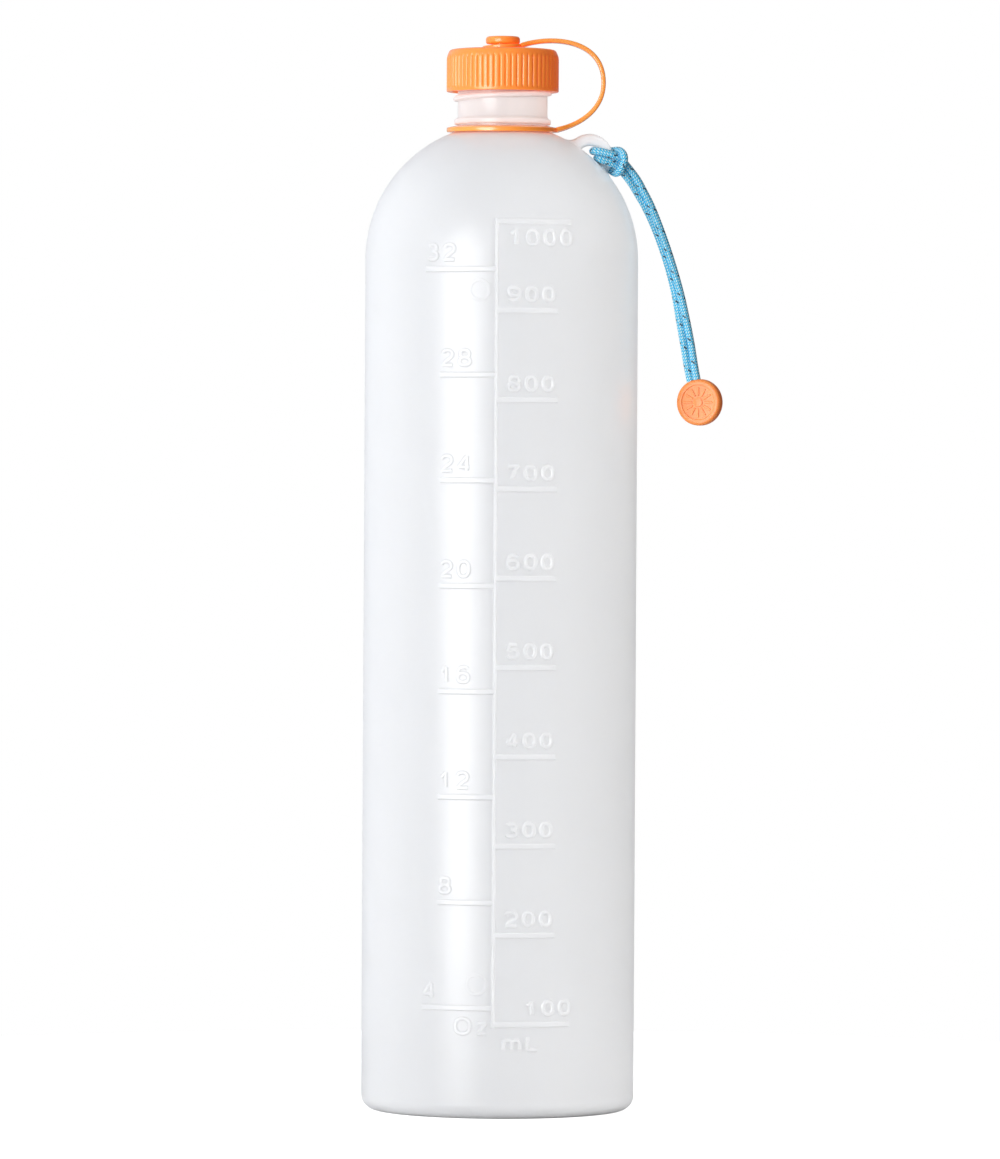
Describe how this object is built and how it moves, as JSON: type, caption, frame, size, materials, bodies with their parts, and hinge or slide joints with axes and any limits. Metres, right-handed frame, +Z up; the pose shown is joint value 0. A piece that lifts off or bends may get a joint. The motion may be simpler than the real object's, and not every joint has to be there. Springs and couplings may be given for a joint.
{
  "type": "squeeze bottle",
  "caption": "Tall translucent squeeze bottle with a domed shoulder, raised volume scales, tethered ribbed screw cap, and a cord with a puller disc on a shoulder eyelet.",
  "frame": {"origin": "middle of the base on the standing plane", "axes": "+Z up along the bottle's axis, -Y towards the volume scale, +X towards the eyelet"},
  "size_m": [0.0984, 0.0753, 0.2953],
  "materials": {
    "natural_hdpe": "translucent satin, fine moulded texture",
    "orange_cap": "satin moulded",
    "liner_foam": "soft closed-cell foam",
    "orange_tether": "semi-gloss flexible",
    "braided_cord": "braided sheath with dark tracer threads",
    "orange_puller": "satin moulded"
  },
  "bodies": {
    "bottle": {"bottle": "natural_hdpe"},
    "liner": {"cap_liner": "liner_foam"},
    "cap": {"screw_cap": "orange_cap"},
    "eye": {"tether_eye": "orange_tether"},
    "collar": {"tether_collar": "orange_tether", "tether_strap": "orange_tether"},
    "lanyard": {"lanyard_cord": "braided_cord", "puller": "orange_puller"}
  },
  "joints": [
    {"name": "cap_rise", "type": "slide", "parent": "bottle", "child": "liner", "axis": [0, 0, 1], "range_m": [0, 0.0096]},
    {"name": "cap_turn", "type": "hinge", "parent": "liner", "child": "cap", "pos_m": [0, 0, 0.29], "axis": [0, 0, 1], "range_deg": [0, 1080]},
    {"name": "tether_swivel", "type": "hinge", "parent": "liner", "child": "eye", "pos_m": [0, 0, 0.292], "axis": [0, 0, 1], "continuous": true},
    {"name": "collar_stay", "type": "slide", "parent": "eye", "child": "collar", "axis": [0, 0, 1], "range_m": [-0.0096, 0], "deforming": ["tether_strap"]},
    {"name": "lanyard_swing", "type": "hinge", "parent": "bottle", "child": "lanyard", "pos_m": [0.02395, 0, 0.26204], "axis": [0, -1, 0], "range_deg": [0, 40]}
  ],
  "couplings": [
    {"joint": "cap_rise", "follows": "cap_turn", "m_per_rad": 0.00050929},
    {"joint": "collar_stay", "follows": "cap_turn", "m_per_rad": -0.00050929}
  ]
}
